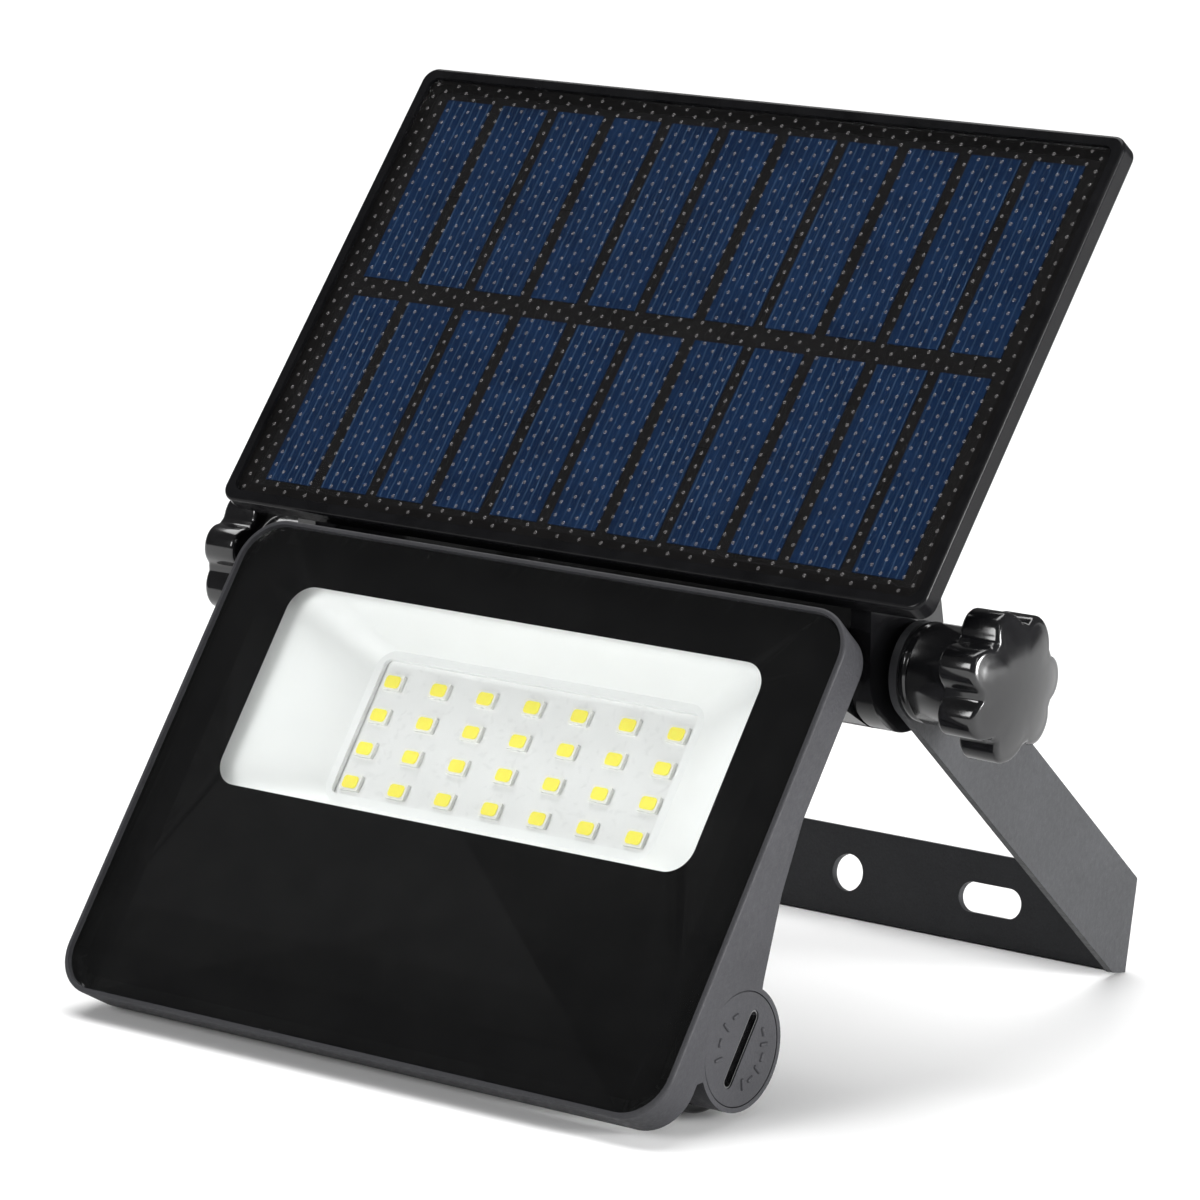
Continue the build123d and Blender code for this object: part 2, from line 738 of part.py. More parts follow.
with BuildPart() as panel_screws:
    with BuildSketch(panel_face.offset(-frame_depth - cover_depth + 3.2)):
        with Locations((0, cover_v)):
            with GridLocations(screw_spread[0] / 2, screw_spread[1], 3, 2):
                Circle(2.2)
    extrude(amount=-1.5)
    with BuildSketch(panel_face.offset(-frame_depth)):
        with Locations((0, cover_v)):
            with GridLocations(screw_spread[0] / 2, screw_spread[1], 3, 2):
                Circle(1.0)
    extrude(amount=-cover_depth + 3.2)
save(panel_screws.part, "panel_screws")

# ---------------------------------------------------------------- solar laminate
backing_n = -frame_depth + frame_floor
cell_n = backing_n + backing_thick
sheet_n = -sheet_inset
laminate = (pocket[0] - 0.4, pocket[1] - 0.4)


def laminate_layer(start, depth, inner=None):
    """A full sheet of the laminate, its front at n = start, or a ring of it when inner is given."""
    with BuildPart() as layer:
        with BuildSketch(panel_face.offset(start)):
            with Locations((0, panel_middle)):
                RectangleRounded(*laminate, panel_corner - 1.2)
                if inner:
                    RectangleRounded(*inner, 1, mode=Mode.SUBTRACT)
        extrude(amount=-depth)
    return layer.part


save(laminate_layer(cell_n, backing_thick), "cell_backing_board")
save(laminate_layer(sheet_n, sheet_thick), "clear_cover_sheet")
seal_depth = cell_n - (sheet_n - sheet_thick)
save(laminate_layer(sheet_n - sheet_thick, -seal_depth, (laminate[0] - 4, laminate[1] - 4)), "panel_seal")

with BuildPart() as solar_cells:
    for low, high in (lower_row, upper_row):
        with BuildSketch(panel_face.offset(cell_n)):
            with Locations((0, (low + high) / 2)):
                with GridLocations(cell_pitch, 1, cell_columns, 1):
                    Rectangle(cell_width, high - low)
        extrude(amount=solar_cell_thick)
save(solar_cells.part, "solar_cells")

with BuildPart() as ribbons:
    for low, high in (lower_row, upper_row):
        with BuildSketch(panel_face.offset(cell_n)):
            with Locations((0, (low + high) / 2)):
                with GridLocations(cell_pitch, 1, cell_columns - 1, 1):
                    Rectangle(cell_pitch - cell_width, 1.6)
        extrude(amount=ribbon_thick)
    with BuildSketch(panel_face.offset(cell_n)):
        with Locations(((cell_columns - 1) / 2 * cell_pitch, (lower_row[1] + upper_row[0]) / 2)):
            Rectangle(1.6, upper_row[0] - lower_row[1])
    extrude(amount=ribbon_thick)
save(ribbons.part, "cell_ribbons")

junction_v = cover_v - 20
junction_n = -frame_depth - cover_depth + cover_wall + 0.4
with BuildPart() as junction:
    with BuildSketch(panel_face.offset(junction_n + 1)):
        with Locations((-10, junction_v)):
            Rectangle(22, 12)
    extrude(amount=-1.0)
save(junction.part, "junction_board")

diode_radius = 1.1
with BuildPart() as diode:
    with BuildSketch(panel_side(-14)):
        with Locations((junction_v, junction_n + 1 + diode_radius)):
            Circle(diode_radius)
    extrude(amount=5)
save(diode.part, "blocking_diode")

with BuildPart() as panel_gland:
    with BuildSketch(panel_face.offset(-frame_depth - cover_depth + cover_wall)):
        with Locations((-service_x, panel_gland_v)):
            Circle(gland_thread)
            Circle(1.8, mode=Mode.SUBTRACT)
    extrude(amount=-cover_wall - 0.2)
    with BuildSketch(panel_face.offset(-frame_depth - cover_depth)):
        with Locations((-service_x, panel_gland_v)):
            Circle(gland_thread + 1.4)
            Circle(1.8, mode=Mode.SUBTRACT)
    extrude(amount=-3.0)
    chamfer(panel_gland.faces().sort_by(Axis(panel_corner_line, panel_out))[0].edges(), 0.6)
save(panel_gland.part, "panel_gland")

# ---------------------------------------------------------------- bracket
pivot_across = (pivot - bar_foot).dot(bar_out)
flare = degrees(asin((arm_outer_at_pivot - bar_half) / pivot_across))
arm_run = pivot_across / cos(radians(flare))
arm_up = (pivot - bar_foot).dot(bar_up)
arm_root = arm_up - arm_run * tan(radians(arm_rise))
arm_span = arm_half_width / cos(radians(arm_rise))
arm_x = Vector(sin(radians(flare)), bar_out.Y * cos(radians(flare)), bar_out.Z * cos(radians(flare)))
bar_face = Plane(origin=bar_foot, x_dir=(1, 0, 0), z_dir=bar_out)
arm_face = Plane(origin=bar_foot + Vector(bar_half, 0, 0), x_dir=arm_x, z_dir=arm_x.cross(bar_up))

with BuildPart() as bracket:
    with BuildSketch(arm_face):
        with Locations((arm_run, arm_up)):
            Circle(arm_half_width)
        along = Vector(cos(radians(arm_rise)), sin(radians(arm_rise)))
        across = Vector(-along.Y, along.X) * arm_half_width
        eye = Vector(arm_run, arm_up)
        low_start = (arm_span - arm_root) / tan(radians(arm_rise))
        with BuildLine():
            Polyline(
                (0, 0),
                (low_start, 0),
                eye - across,
                eye + across,
                (1, arm_root + arm_span + tan(radians(arm_rise))),
                (0, bar_height),
                close=True,
            )
        make_face()
    extrude(amount=steel)
    mirror(about=Plane.YZ)
    with BuildSketch(bar_face):
        with Locations((0, bar_height / 2)):
            Rectangle(2 * bar_half, bar_height)
    extrude(amount=steel)
    # fixing holes in the bar, hinge holes in the arms
    with BuildSketch(bar_face.offset(-1)):
        with Locations((0, hole_up)):
            Circle(hole_radius)
        with Locations((-slot_x, hole_up), (slot_x, hole_up)):
            SlotOverall(slot_length, slot_width)
    extrude(amount=steel + 2, mode=Mode.SUBTRACT)
    with BuildSketch(hinge_plane(-arm_outer_at_pivot - 2)):
        Circle(bolt_radius + running_gap)
    extrude(amount=2 * arm_outer_at_pivot + 4, mode=Mode.SUBTRACT)
    # outer bend radius
    bend_lines = bracket.edges().filter_by(Axis(bar_foot, bar_up))
    fillet([line for line in bend_lines if abs(abs(line.center().X) - bar_half) < 0.1], bend_radius)
save(bracket.part, "mount_bracket")

print("hinge line y, z", pivot.Y, pivot.Z)
print("bar foot", bar_foot, "bar out", bar_out, "bar up", bar_up)
print("head centre", head_centre, "out", head_out, "up", head_up)
print("cap axis", tube_plane(cap_face).origin, "switch", head_face.offset(back_n).origin)
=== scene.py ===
"""Solar flood light: materials, fine surface detail, floor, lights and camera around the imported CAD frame.

Frame, in metres: +Z up, +X to the right of someone facing the lamp, the lamp shines towards -Y.
"""
import json
from math import cos, pi, radians, sin, sqrt

import bmesh
import bpy
from mathutils import Matrix, Vector


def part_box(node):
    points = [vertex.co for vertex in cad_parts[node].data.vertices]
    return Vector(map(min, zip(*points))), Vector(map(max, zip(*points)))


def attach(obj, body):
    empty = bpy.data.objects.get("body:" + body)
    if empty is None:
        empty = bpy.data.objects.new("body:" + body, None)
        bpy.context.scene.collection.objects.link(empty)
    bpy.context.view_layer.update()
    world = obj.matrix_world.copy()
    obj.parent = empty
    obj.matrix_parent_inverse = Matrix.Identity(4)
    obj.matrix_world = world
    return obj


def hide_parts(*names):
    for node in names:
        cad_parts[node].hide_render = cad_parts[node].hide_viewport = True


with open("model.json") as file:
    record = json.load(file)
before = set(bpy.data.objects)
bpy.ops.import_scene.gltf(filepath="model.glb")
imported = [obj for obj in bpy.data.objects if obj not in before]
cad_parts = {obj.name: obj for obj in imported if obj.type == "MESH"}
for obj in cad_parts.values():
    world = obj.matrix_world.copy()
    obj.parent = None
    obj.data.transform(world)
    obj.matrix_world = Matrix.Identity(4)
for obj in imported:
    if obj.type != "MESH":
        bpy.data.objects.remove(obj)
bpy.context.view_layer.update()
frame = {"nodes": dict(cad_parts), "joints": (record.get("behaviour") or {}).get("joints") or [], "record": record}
nodes = frame["nodes"]
joints = {j["name"]: j for j in frame["joints"]}
MM = 0.001

# ---------------------------------------------------------------- places and directions
HEAD_TILT = radians(35.4)
PANEL_TILT = radians(38.5)
RIGHT = Vector((1, 0, 0))


def up_of(tilt):
    """Upwards along a face that leans back by tilt."""
    return Vector((0, sin(tilt), cos(tilt)))


def out_of(tilt):
    """Outwards from a face that leans back by tilt."""
    return Vector((0, -cos(tilt), sin(tilt)))


head_up, head_out = up_of(HEAD_TILT), out_of(HEAD_TILT)
panel_up, panel_out = up_of(PANEL_TILT), out_of(PANEL_TILT)
pivot = Vector(joints["head_tilt"]["pos_m"])
cap_centre = Vector(joints["cap_turn"]["pos_m"])


def extent(node, axis):
    """Lowest and highest place of a CAD node along an axis, in metres."""
    along = [v.co.dot(axis) for v in nodes[node].data.vertices]
    return min(along), max(along)


# ---------------------------------------------------------------- node material helpers
class Nodes:
    """A new node material and short calls to fill it."""

    def __init__(self, name):
        self.material = bpy.data.materials.new(name)
        self.material.use_nodes = True
        self.tree = self.material.node_tree
        self.shader = next(n for n in self.tree.nodes if n.type == "BSDF_PRINCIPLED")
        self.output = next(n for n in self.tree.nodes if n.type == "OUTPUT_MATERIAL")

    def add(self, kind, **values):
        node = self.tree.nodes.new(kind)
        for key, value in values.items():
            setattr(node, key, value)
        return node

    def link(self, start, end):
        self.tree.links.new(start, end)

    def set(self, **values):
        for key, value in values.items():
            socket = self.shader.inputs[key.replace("_", " ")]
            if hasattr(value, "links"):
                self.link(value, socket)
            else:
                socket.default_value = value

    def coords(self):
        return self.add("ShaderNodeTexCoord").outputs["Object"]

    def noise(self, scale, detail=2.0, roughness=0.5):
        node = self.add("ShaderNodeTexNoise")
        node.inputs["Scale"].default_value = scale
        node.inputs["Detail"].default_value = detail
        node.inputs["Roughness"].default_value = roughness
        self.link(self.coords(), node.inputs["Vector"])
        return node.outputs["Fac"]

    def voronoi(self, scale):
        node = self.add("ShaderNodeTexVoronoi")
        node.inputs["Scale"].default_value = scale
        self.link(self.coords(), node.inputs["Vector"])
        return node.outputs["Distance"]

    def range(self, value, low, high, to_low, to_high):
        node = self.add("ShaderNodeMapRange")
        self.link(value, node.inputs["Value"])
        for name, number in (("From Min", low), ("From Max", high), ("To Min", to_low), ("To Max", to_high)):
            node.inputs[name].default_value = number
        return node.outputs["Result"]

    def math(self, operation, *values):
        node = self.add("ShaderNodeMath", operation=operation)
        for socket, value in zip(node.inputs, values):
            if hasattr(value, "links"):
                self.link(value, socket)
            else:
                socket.default_value = value
        return node.outputs[0]

    def mix(self, share, a, b):
        node = self.add("ShaderNodeMix", data_type="RGBA")
        self.link(share, node.inputs["Factor"])
        for name, value in (("A", a), ("B", b)):
            socket = next(s for s in node.inputs if s.name == name and s.type == "RGBA")
            if hasattr(value, "links"):
                self.link(value, socket)
            else:
                socket.default_value = (*value, 1)
        return next(s for s in node.outputs if s.type == "RGBA")

    def bump(self, height, distance, strength=1.0, under=None):
        node = self.add("ShaderNodeBump")
        node.inputs["Distance"].default_value = distance
        node.inputs["Strength"].default_value = strength
        self.link(height, node.inputs["Height"])
        if under is not None:
            self.link(under, node.inputs["Normal"])
        return node.outputs["Normal"]


def powder_coat(name, dark, light, rough=0.5, specular=0.28):
    """Fine rough powder paint: a small orange peel, a finer grain and a slight change of tone."""
    m = Nodes(name)
    grain = m.noise(2600, 3, 0.6)
    peel = m.voronoi(1500)
    tone = m.noise(60, 3, 0.55)
    speck = m.range(m.noise(3800, 1, 0.5), 0.3, 0.7, -0.25, 0.25)
    share = m.math("ADD", m.range(tone, 0.3, 0.7, 0.25, 0.75), speck)
    m.set(Base_Color=m.mix(share, dark, light))
    m.set(Roughness=m.range(m.noise(900, 2), 0.3, 0.7, rough - 0.07, rough + 0.09))
    rough_normal = m.bump(peel, 0.00006, 0.55)
    m.set(Normal=m.bump(grain, 0.00004, 0.6, rough_normal), Specular_IOR_Level=specular)
    return m.material


def moulded(name, dark, light, rough, grain=0.0, specular=0.5):
    """Moulded plastic: faint flow marks in the gloss and, where asked, a fine spark-eroded grain."""
    m = Nodes(name)
    m.set(Base_Color=m.mix(m.range(m.noise(120, 2), 0.3, 0.7, 0, 1), dark, light))
    m.set(Roughness=m.range(m.noise(420, 3, 0.6), 0.3, 0.7, rough * 0.75, rough * 1.3))
    m.set(Specular_IOR_Level=specular)
    waves = m.bump(m.noise(85, 1), 0.00025, 0.12)
    if grain:
        waves = m.bump(m.noise(3200, 2), 0.00005, grain, waves)
    m.set(Normal=waves)
    return m.material


def metal(name, dark, light, rough, scratches=1400.0):
    """Plated or turned metal with fine handling marks."""
    m = Nodes(name)
    m.set(Base_Color=m.mix(m.noise(300, 3), dark, light), Metallic=1.0)
    m.set(Roughness=m.range(m.noise(scratches, 4, 0.7), 0.3, 0.75, rough * 0.6, rough * 1.5))
    m.set(Normal=m.bump(m.noise(scratches, 2), 0.00001, 0.12))
    return m.material


def clear_pane(name, tint, rough, ior=1.45):
    """A clear sheet that lets lamps through, so that what is behind it is lit."""
    m = Nodes(name)
    m.set(Base_Color=(*tint, 1), Transmission_Weight=1.0, IOR=ior)
    m.set(Roughness=m.range(m.noise(25, 2), 0.35, 0.7, rough * 0.6, rough * 1.6))
    path = m.add("ShaderNodeLightPath")
    through = m.add("ShaderNodeBsdfTransparent")
    through.inputs["Color"].default_value = (*[sqrt(t) for t in tint], 1)
    mixer = m.add("ShaderNodeMixShader")
    seen = m.math("MAXIMUM", path.outputs["Is Shadow Ray"], path.outputs["Is Diffuse Ray"])
    m.link(seen, mixer.inputs[0])
    m.link(m.shader.outputs[0], mixer.inputs[1])
    m.link(through.outputs[0], mixer.inputs[2])
    m.link(mixer.outputs[0], m.output.inputs["Surface"])
    return m.material


def dimple_resin_painted_sheen():
    """The laminate's raised dots: mostly see-through, with a grey base colour that paints their soft sheen."""
    m = Nodes("dimple_resin_painted_sheen")
    # painted sheen: the grey base colour stands in for the lamps' soft reflections on the clear domes
    m.set(Base_Color=m.mix(m.noise(900, 2), (0.2, 0.185, 0.18), (0.34, 0.33, 0.335)))
    m.set(Roughness=m.range(m.noise(500, 2), 0.3, 0.7, 0.16, 0.26), Alpha=0.26)
    return m.material


def cell_silicon():
    """Dark blue silicon with fine silver fingers along the cell and a crystal-like change of tone."""
    finger_pitch = 1.78 * MM
    m = Nodes("solar_cell_silicon")
    place = m.add("ShaderNodeSeparateXYZ")
    m.link(m.coords(), place.inputs[0])
    wobble = m.range(m.noise(350, 1), 0.3, 0.7, -0.05, 0.05)
    across = m.math("ADD", m.math("DIVIDE", place.outputs["X"], finger_pitch), wobble)
    away = m.math("ABSOLUTE", m.math("SUBTRACT", m.math("FRACT", across), 0.5))
    finger = m.range(away, 0.035, 0.075, 1, 0)
    faint = m.math("MULTIPLY", finger, m.range(m.noise(140, 2), 0.35, 0.65, 0.25, 0.75))
    tone = m.range(m.noise(160, 3, 0.6), 0.3, 0.7, 0, 1)
    blue = m.mix(tone, (0.0025, 0.011, 0.036), (0.0045, 0.018, 0.055))
    m.set(Base_Color=m.mix(faint, blue, (0.05, 0.09, 0.15)), Roughness=0.4, Specular_IOR_Level=0.0)
    return m.material


def white_gloss(name, colour, rough):
    """White moulding or solder mask with a faint change of tone."""
    m = Nodes(name)
    warm = tuple(c * 0.965 for c in colour)
    m.set(Base_Color=m.mix(m.range(m.noise(90, 2), 0.3, 0.7, 0, 1), warm, colour))
    m.set(Roughness=m.range(m.noise(700, 2), 0.3, 0.7, rough * 0.85, rough * 1.15))
    m.set(Normal=m.bump(m.noise(1800, 2), 0.00002, 0.3))
    return m.material


def phosphor_gel():
    """The yellow gel on each LED, with a faint painted glow although the lamp is off."""
    m = Nodes("phosphor_gel")
    m.set(Base_Color=m.mix(m.noise(2200, 2), (0.93, 0.78, 0.06), (0.98, 0.88, 0.14)))
    m.set(Roughness=0.35, Subsurface_Weight=0.15, Subsurface_Scale=0.0006)
    # painted glow: a faint emission, though the LED is switched off
    m.set(Emission_Color=(1.0, 0.85, 0.1, 1), Emission_Strength=0.08)
    m.set(Normal=m.bump(m.noise(3000, 2), 0.00002, 0.4))
    return m.material


def circuit_board():
    """Green solder mask with a faint pattern of tracks."""
    m = Nodes("green_board_mask")
    place = m.add("ShaderNodeMapping")
    place.inputs["Scale"].default_value = (420, 420, 420)
    m.link(m.coords(), place.inputs["Vector"])
    brick = m.add("ShaderNodeTexBrick")
    m.link(place.outputs[0], brick.inputs["Vector"])
    greens = {"Color1": (0.01, 0.09, 0.035), "Color2": (0.012, 0.1, 0.04), "Mortar": (0.02, 0.17, 0.07)}
    for name, colour in greens.items():
        brick.inputs[name].default_value = (*colour, 1)
    m.set(Base_Color=brick.outputs["Color"], Roughness=0.35)
    return m.material


def floor_paper():
    """Matt studio paper, nearly white."""
    m = Nodes("studio_floor")
    m.set(Base_Color=m.mix(m.noise(3, 2), (0.93, 0.93, 0.93), (0.95, 0.95, 0.95)), Roughness=0.8)
    m.set(Specular_IOR_Level=0.1)
    return m.material


FINISHES = {
    "housing": powder_coat("housing_powder_coat", (0.027, 0.027, 0.0295), (0.043, 0.043, 0.0475), 0.52, 0.16),
    "bracket": powder_coat("bracket_powder_coat", (0.026, 0.0265, 0.0285), (0.041, 0.042, 0.0455), 0.54),
    "glass": clear_pane("tempered_glass", (0.985, 0.995, 0.99), 0.01),
    "black_print": moulded("black_print", (0.004, 0.004, 0.0043), (0.006, 0.006, 0.0062), 0.9, specular=0.0),
    "black_plastic": moulded(
        "black_gloss_plastic", (0.004, 0.004, 0.0045), (0.007, 0.007, 0.0078), 0.14, specular=0.62),
    "black_matte": moulded(
        "black_matt_plastic", (0.006, 0.0055, 0.0055), (0.011, 0.0105, 0.0105), 0.5, grain=0.5, specular=0.3),
    "rubber": moulded("black_silicone", (0.008, 0.008, 0.008), (0.013, 0.013, 0.013), 0.6, grain=0.6),
    "white_plastic": white_gloss("white_reflector", (0.88, 0.89, 0.885), 0.4),
    "white_board": white_gloss("white_solder_mask", (0.84, 0.845, 0.84), 0.3),
    "led_white": white_gloss("led_package", (0.86, 0.86, 0.82), 0.3),
    "phosphor": phosphor_gel(),
    "steel": metal("nickel_plate", (0.72, 0.71, 0.69), (0.82, 0.81, 0.8), 0.12),
    "zinc": metal("zinc_plate", (0.5, 0.51, 0.52), (0.62, 0.63, 0.65), 0.3),
    "brass": metal("turned_brass", (0.6, 0.42, 0.17), (0.75, 0.56, 0.26), 0.25),
    "thermal_grey": moulded("thermal_pad_grey", (0.2, 0.24, 0.28), (0.25, 0.29, 0.33), 0.7, grain=0.8),
    "green_board": circuit_board(),
    "components": moulded("epoxy_packages", (0.01, 0.01, 0.011), (0.02, 0.02, 0.021), 0.5, grain=0.4),
    "cell_wrap": moulded("battery_sleeve", (0.01, 0.06, 0.25), (0.015, 0.08, 0.3), 0.25),
    "solar_cell": cell_silicon(),
    "ribbon": moulded("coated_ribbon", (0.006, 0.0055, 0.0055), (0.009, 0.0083, 0.0083), 0.8, specular=0.0),
    "clear_sheet": clear_pane("clear_laminate", (0.97, 0.98, 0.99), 0.05, 1.32),
}

for entry in frame["record"]["subparts"]:
    mesh = nodes[entry["node"]].data
    mesh.materials.clear()
    mesh.materials.append(FINISHES[entry["material_slot"]])
# sheets that the laminate's resin wets all over have no gloss of their own
bonded_black = moulded("bonded_backing", (0.006, 0.0055, 0.0055), (0.009, 0.0083, 0.0083), 0.8, specular=0.0)
for name in ("cell_backing_board", "panel_seal"):
    nodes[name].data.materials[0] = bonded_black
nodes["panel_frame"].data.materials[0] = moulded(
    "panel_frame_plastic", (0.004, 0.004, 0.0045), (0.007, 0.007, 0.0078), 0.2, specular=0.12)
# painted shade: the slot's plating is made dark to stand for the shade deep inside the coin slot
nodes["cap_insert"].data.materials[0] = metal(
    "slot_plating_painted_shade", (0.13, 0.13, 0.135), (0.22, 0.22, 0.22), 0.12, scratches=60.0)


def piece(name, mesh, body, slot, smooth=True):
    """Puts a mesh in the scene as a piece of the object."""
    obj = bpy.data.objects.new(name, mesh)
    bpy.context.scene.collection.objects.link(obj)
    mesh.materials.append(FINISHES[slot])
    for polygon in mesh.polygons:
        polygon.use_smooth = smooth
    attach(obj, body)
    return obj


# ---------------------------------------------------------------- meshes from rings of points
def skin(bm, rings):
    """Faces between neighbouring rings of the same count. A single point closes an end."""
    for ring, following in zip(rings, rings[1:]):
        count = max(len(ring), len(following))
        for i in range(count):
            j = (i + 1) % count
            if len(ring) == 1:
                bm.faces.new((ring[0], following[i], following[j]))
            elif len(following) == 1:
                bm.faces.new((ring[j], ring[i], following[0]))
            else:
                bm.faces.new((ring[j], ring[i], following[i], following[j]))


def finished(bm, name):
    """The working mesh as a new mesh, with its faces turned outwards."""
    bmesh.ops.recalc_face_normals(bm, faces=bm.faces)
    mesh = bpy.data.meshes.new(name)
    bm.to_mesh(mesh)
    bm.free()
    return mesh


# ---------------------------------------------------------------- star knobs
LOBES = 7
LOBE_RADIUS = 3.8 * MM
LOBE_CENTRE = 10.2 * MM
GRIP_CORE = 11.3 * MM
NECK_RADIUS = 8.9 * MM
INSERT_RADIUS = 4.4 * MM
GRIP_DEPTH = 9.9 * MM
DOME_RISE = 2.5 * MM
LOBE_BLEND = 1.1 * MM
FRONT_ROUND = 1.3 * MM
BACK_ROUND = 0.8 * MM
EDGE_SINK = 0.15 * MM
INSERT_DEPTH = 3.0 * MM
# how far along the neck, and how far in from its radius: its rounded start
NECK_START = ((0.0, 0.35 * MM), (0.12 * MM, 0.12 * MM), (0.4 * MM, 0.0))
GROOVE_START = 1.3 * MM
GROOVE_END = 2.1 * MM
GROOVE_DEPTH = 0.2 * MM
# how far before the grip's back, and how far out from the neck's radius: its flare
NECK_FLARE = ((0.9 * MM, 0.0), (0.3 * MM, 0.2 * MM), (0.0, 0.7 * MM))
QUARTER_TURN = [radians(a) for a in (0, 22.5, 45, 67.5, 90)]
DOME_SHARES = (0.9, 0.75, 0.6, 0.45, 0.3, 0.15)
STEPS_PER_LOBE = 28


def lobed_radius(angle):
    """Radius of the star grip: seven round lobes on a core, blended softly."""
    pitch = 2 * pi / LOBES
    off = abs((angle + pitch / 2) % pitch - pitch / 2)
    reach = LOBE_CENTRE * sin(off)
    lobe = LOBE_CENTRE * cos(off) + sqrt(max(LOBE_RADIUS**2 - reach**2, 0))
    return (lobe + GRIP_CORE + sqrt((lobe - GRIP_CORE)**2 + LOBE_BLEND**2)) / 2 - LOBE_BLEND / 2


def dome_drop(radius):
    """How far the domed face lies behind its middle, at a radius."""
    sphere = ((LOBE_CENTRE + LOBE_RADIUS)**2 + DOME_RISE**2) / (2 * DOME_RISE)
    return sphere - sqrt(sphere**2 - radius**2)


def knob_mesh(name, side, turn):
    """A glossy star knob whose neck starts at the bracket and whose domed face looks outwards."""
    low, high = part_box(name)
    start, face = (low.x, high.x) if side > 0 else (-high.x, -low.x)
    back = face - GRIP_DEPTH
    bm = bmesh.new()

    def ring(distance, radius):
        """A ring round the hinge axis. Its distance along the axis and its radius depend on the angle."""
        points = []
        for i in range(LOBES * STEPS_PER_LOBE):
            angle = 2 * pi * i / (LOBES * STEPS_PER_LOBE)
            across = head_up * cos(angle + turn) - head_out * sin(angle + turn)
            centre = Vector((side * distance(angle), pivot.y, pivot.z))
            points.append(bm.verts.new(centre + across * radius(angle)))
        return points

    def face_at(share, angle):
        """Place of the domed face at a share of the way from its middle to its rounded edge."""
        return face - dome_drop(share * (lobed_radius(angle) - FRONT_ROUND)) - EDGE_SINK * share**4

    neck = [(start + INSERT_DEPTH, INSERT_RADIUS), (start, INSERT_RADIUS)]
    neck += [(start + along, NECK_RADIUS - inset) for along, inset in NECK_START]
    groove_floor = NECK_RADIUS - GROOVE_DEPTH
    neck += [(start + GROOVE_START, NECK_RADIUS), (start + GROOVE_START + GROOVE_DEPTH, groove_floor)]
    neck += [(start + GROOVE_END - GROOVE_DEPTH, groove_floor), (start + GROOVE_END, NECK_RADIUS)]
    neck += [(back - before, NECK_RADIUS + flare) for before, flare in NECK_FLARE]
    rings = [ring(lambda t, x=x: x, lambda t, r=r: r) for x, r in neck]
    for a in QUARTER_TURN:
        rings.append(ring(lambda t, a=a: back + BACK_ROUND * (1 - cos(a)),
                          lambda t, a=a: lobed_radius(t) - BACK_ROUND * (1 - sin(a))))
    for a in QUARTER_TURN:
        rings.append(ring(lambda t, a=a: face_at(1, t) - FRONT_ROUND * (1 - sin(a)),
                          lambda t, a=a: lobed_radius(t) - FRONT_ROUND * (1 - cos(a))))
    for share in DOME_SHARES:
        rings.append(ring(lambda t, s=share: face_at(s, t),
                          lambda t, s=share: s * (lobed_radius(t) - FRONT_ROUND)))
    rings.append([bm.verts.new((side * face, pivot.y, pivot.z))])
    skin(bm, rings)
    return finished(bm, name)


for name, side, turn in (("left_knob", -1, radians(1)), ("right_knob", 1, radians(3))):
    knob = piece("star_" + name, knob_mesh(name, side, turn), name + "_turn", "black_plastic")
    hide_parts(name)


# ---------------------------------------------------------------- dimples of the solar laminate
DOT_COLUMN = 2.52 * MM
DOT_PITCH = 2.72 * MM
DOT_RADIUS = 0.4 * MM
DOT_RISE = 0.13 * MM
DOT_SIDES = 8
# a dome's rings: the share of its radius and of its rise
DOT_RINGS = ((1.0, -0.03), (0.82, 0.36), (0.45, 0.82))
SHEET_EDGE = 0.9 * MM


def dimple_mesh():
    """Low domes over the whole clear sheet, in columns offset by half a pitch."""
    low_x, high_x = extent("clear_cover_sheet", RIGHT)
    low_v, high_v = extent("clear_cover_sheet", panel_up)
    front = extent("clear_cover_sheet", panel_out)[1]
    columns = int((high_x - low_x - 2 * SHEET_EDGE) / DOT_COLUMN)
    rows = int((high_v - low_v - 2 * SHEET_EDGE) / DOT_PITCH)
    bm = bmesh.new()
    for column in range(columns + 1):
        x = (low_x + high_x) / 2 + (column - columns / 2) * DOT_COLUMN
        for row in range(rows + 1 - column % 2):
            v = (low_v + high_v) / 2 + (row - rows / 2 + (column % 2) / 2) * DOT_PITCH
            centre = Vector((x, 0, 0)) + panel_up * v + panel_out * front
            rings = []
            for share, rise in DOT_RINGS:
                middle = centre + panel_out * DOT_RISE * rise
                angles = [2 * pi * i / DOT_SIDES for i in range(DOT_SIDES)]
                rings.append([bm.verts.new(middle + (RIGHT * cos(a) + panel_up * sin(a)) * DOT_RADIUS * share)
                              for a in angles])
            rings.append([bm.verts.new(centre + panel_out * DOT_RISE)])
            skin(bm, rings)
    return finished(bm, "laminate_dimples")


piece("laminate_dimples", dimple_mesh(), "panel", "clear_sheet").data.materials[0] = dimple_resin_painted_sheen()


# ---------------------------------------------------------------- raised marks on the battery cap
MARK_RISE = 0.34 * MM
MARK_SINK = 0.02 * MM
MARK_CIRCLE = 6.3 * MM
# length and width of the ticks
OUTWARD_TICK = (2.2 * MM, 0.75 * MM)
ALONG_TICK = (1.7 * MM, 0.8 * MM)
# first and last angle of each arc in degrees, and its number of ticks
MARK_ARCS = ((50, 130, 4), (-38, -142, 6))
# outline of a tick with cut corners, as shares of half its length and half its width
TICK_CORNERS = ((-1, -0.6), (-0.75, -1), (0.75, -1), (1, -0.6), (1, 0.6), (0.75, 1), (-0.75, 1), (-1, 0.6))


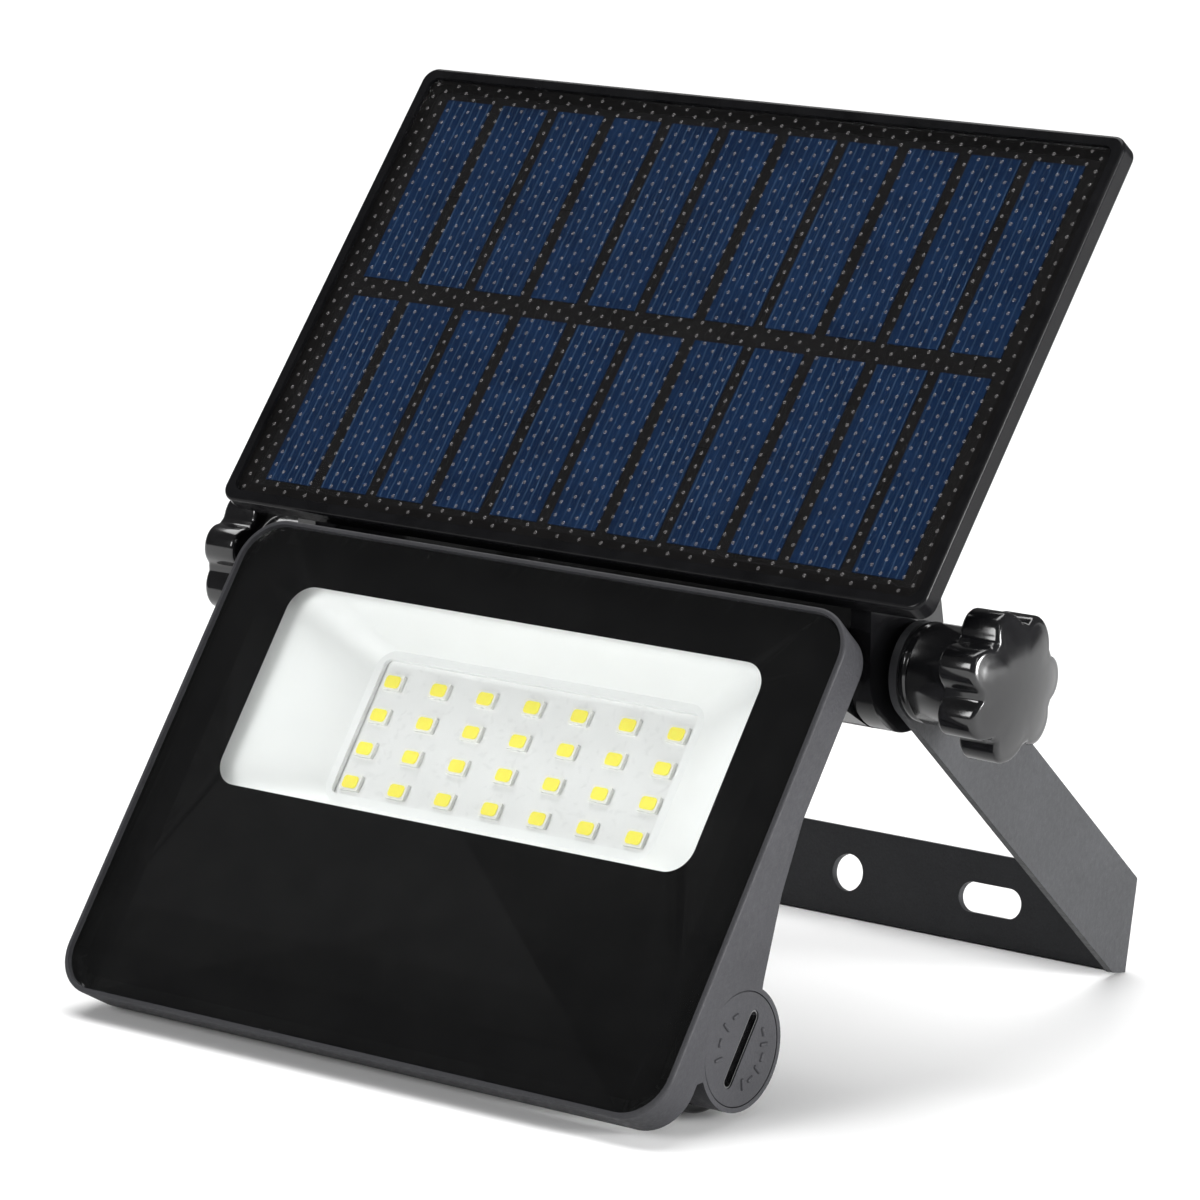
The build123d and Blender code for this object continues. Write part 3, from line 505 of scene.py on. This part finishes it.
def bar_mark(bm, centre, along, across, length, width):
    """A small raised bar with sloping sides, on a face that looks along +X."""
    rings = []
    for grow, rise in ((1.0, -MARK_SINK), (0.8, 0.7 * MARK_RISE), (0.45, MARK_RISE)):
        middle = centre + RIGHT * rise
        half_width = across * (width / 2 * grow)
        half_length = along * (length / 2 - width / 2 * (1 - grow))
        rings.append([bm.verts.new(middle + half_length * a + half_width * c) for a, c in TICK_CORNERS])
    skin(bm, rings)
    bm.faces.new(rings[-1])


def cap_marks():
    """Two arcs of plain ticks beside the coin slot, alternately along the arc and outward."""
    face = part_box("battery_cap")[1].x
    bm = bmesh.new()
    for first, last, count in MARK_ARCS:
        for i in range(count):
            angle = radians(first + (last - first) * i / (count - 1))
            outward = head_up * cos(angle) + head_out * sin(angle)
            tangent = RIGHT.cross(outward)
            centre = Vector((face, cap_centre.y, cap_centre.z)) + outward * MARK_CIRCLE
            if i % 2:
                bar_mark(bm, centre, outward, tangent, *OUTWARD_TICK)
            else:
                bar_mark(bm, centre, tangent, outward, *ALONG_TICK)
    return finished(bm, "cap_marks")


piece("cap_marks", cap_marks(), "cap", "housing")


# ---------------------------------------------------------------- floor, lights and camera
HEAD_MIDDLE = Vector((0, -0.05, 0.06))
BELOW_HINGE = Vector((0, 0, 0.06))
SUN_DIRECTION = Vector((0.3, -0.25, -0.92))
CAMERA_PLACE = Vector((0.67038, -0.83203, 0.29216))
CAMERA_YAW = radians(38.9895)
CAMERA_PITCH = radians(-11.5773)
CAMERA_ROLL = radians(0.292)


def make_floor():
    """A round sheet of paper, wide enough to fill every view."""
    bm = bmesh.new()
    bmesh.ops.create_circle(bm, cap_ends=True, radius=12, segments=64)
    mesh = bpy.data.meshes.new("studio_floor")
    bm.to_mesh(mesh)
    bm.free()
    floor = bpy.data.objects.new("studio_floor", mesh)
    bpy.context.scene.collection.objects.link(floor)
    mesh.materials.append(floor_paper())


def soft_light(name, place, target, size, power):
    """A rectangular soft box at a place, aimed at a target."""
    lamp = bpy.data.lights.new(name, "AREA")
    lamp.shape = "RECTANGLE"
    lamp.size, lamp.size_y = size
    lamp.energy = power
    obj = bpy.data.objects.new(name, lamp)
    obj.location = place
    obj.rotation_euler = (Vector(target) - Vector(place)).to_track_quat("-Z", "Y").to_euler()
    bpy.context.scene.collection.objects.link(obj)


def overhead_sun():
    """A very soft light from above and behind, which keeps the floor evenly pale."""
    lamp = bpy.data.lights.new("overhead_sun", "SUN")
    lamp.energy = 3.0
    lamp.angle = radians(50)
    obj = bpy.data.objects.new("overhead_sun", lamp)
    obj.rotation_euler = SUN_DIRECTION.to_track_quat("-Z", "Y").to_euler()
    bpy.context.scene.collection.objects.link(obj)


def studio_world():
    """A dim white surround."""
    world = bpy.data.worlds.new("studio")
    world.use_nodes = True
    background = world.node_tree.nodes["Background"]
    background.inputs["Color"].default_value = (1, 1, 1, 1)
    background.inputs["Strength"].default_value = 0.11
    bpy.context.scene.world = world


def make_camera():
    """Seen from the right and a little above, with a long lens."""
    camera = bpy.data.cameras.new("camera")
    camera.lens = 180.71
    camera.sensor_width = 36
    obj = bpy.data.objects.new("camera", camera)
    turn = Matrix.Rotation(CAMERA_YAW, 4, "Z") @ Matrix.Rotation(pi / 2 + CAMERA_PITCH, 4, "X")
    obj.matrix_world = Matrix.Translation(CAMERA_PLACE) @ turn @ Matrix.Rotation(CAMERA_ROLL, 4, "Z")
    bpy.context.scene.collection.objects.link(obj)
    bpy.context.scene.camera = obj


make_floor()
studio_world()
overhead_sun()
soft_light("front_light", Vector((-0.28, -0.87, 0.41)) * 2.4 + HEAD_MIDDLE, HEAD_MIDDLE, (0.9, 0.9), 31)
soft_light("edge_light", Vector((0.76, -0.23, 0.61)) * 1.8 + HEAD_MIDDLE, HEAD_MIDDLE, (0.16, 0.9), 3.0)
soft_light("right_light", Vector((0.97, 0.16, 0.18)) * 2.2, BELOW_HINGE, (0.8, 0.8), 88)
make_camera()
bpy.context.scene.view_settings.view_transform = "Standard"
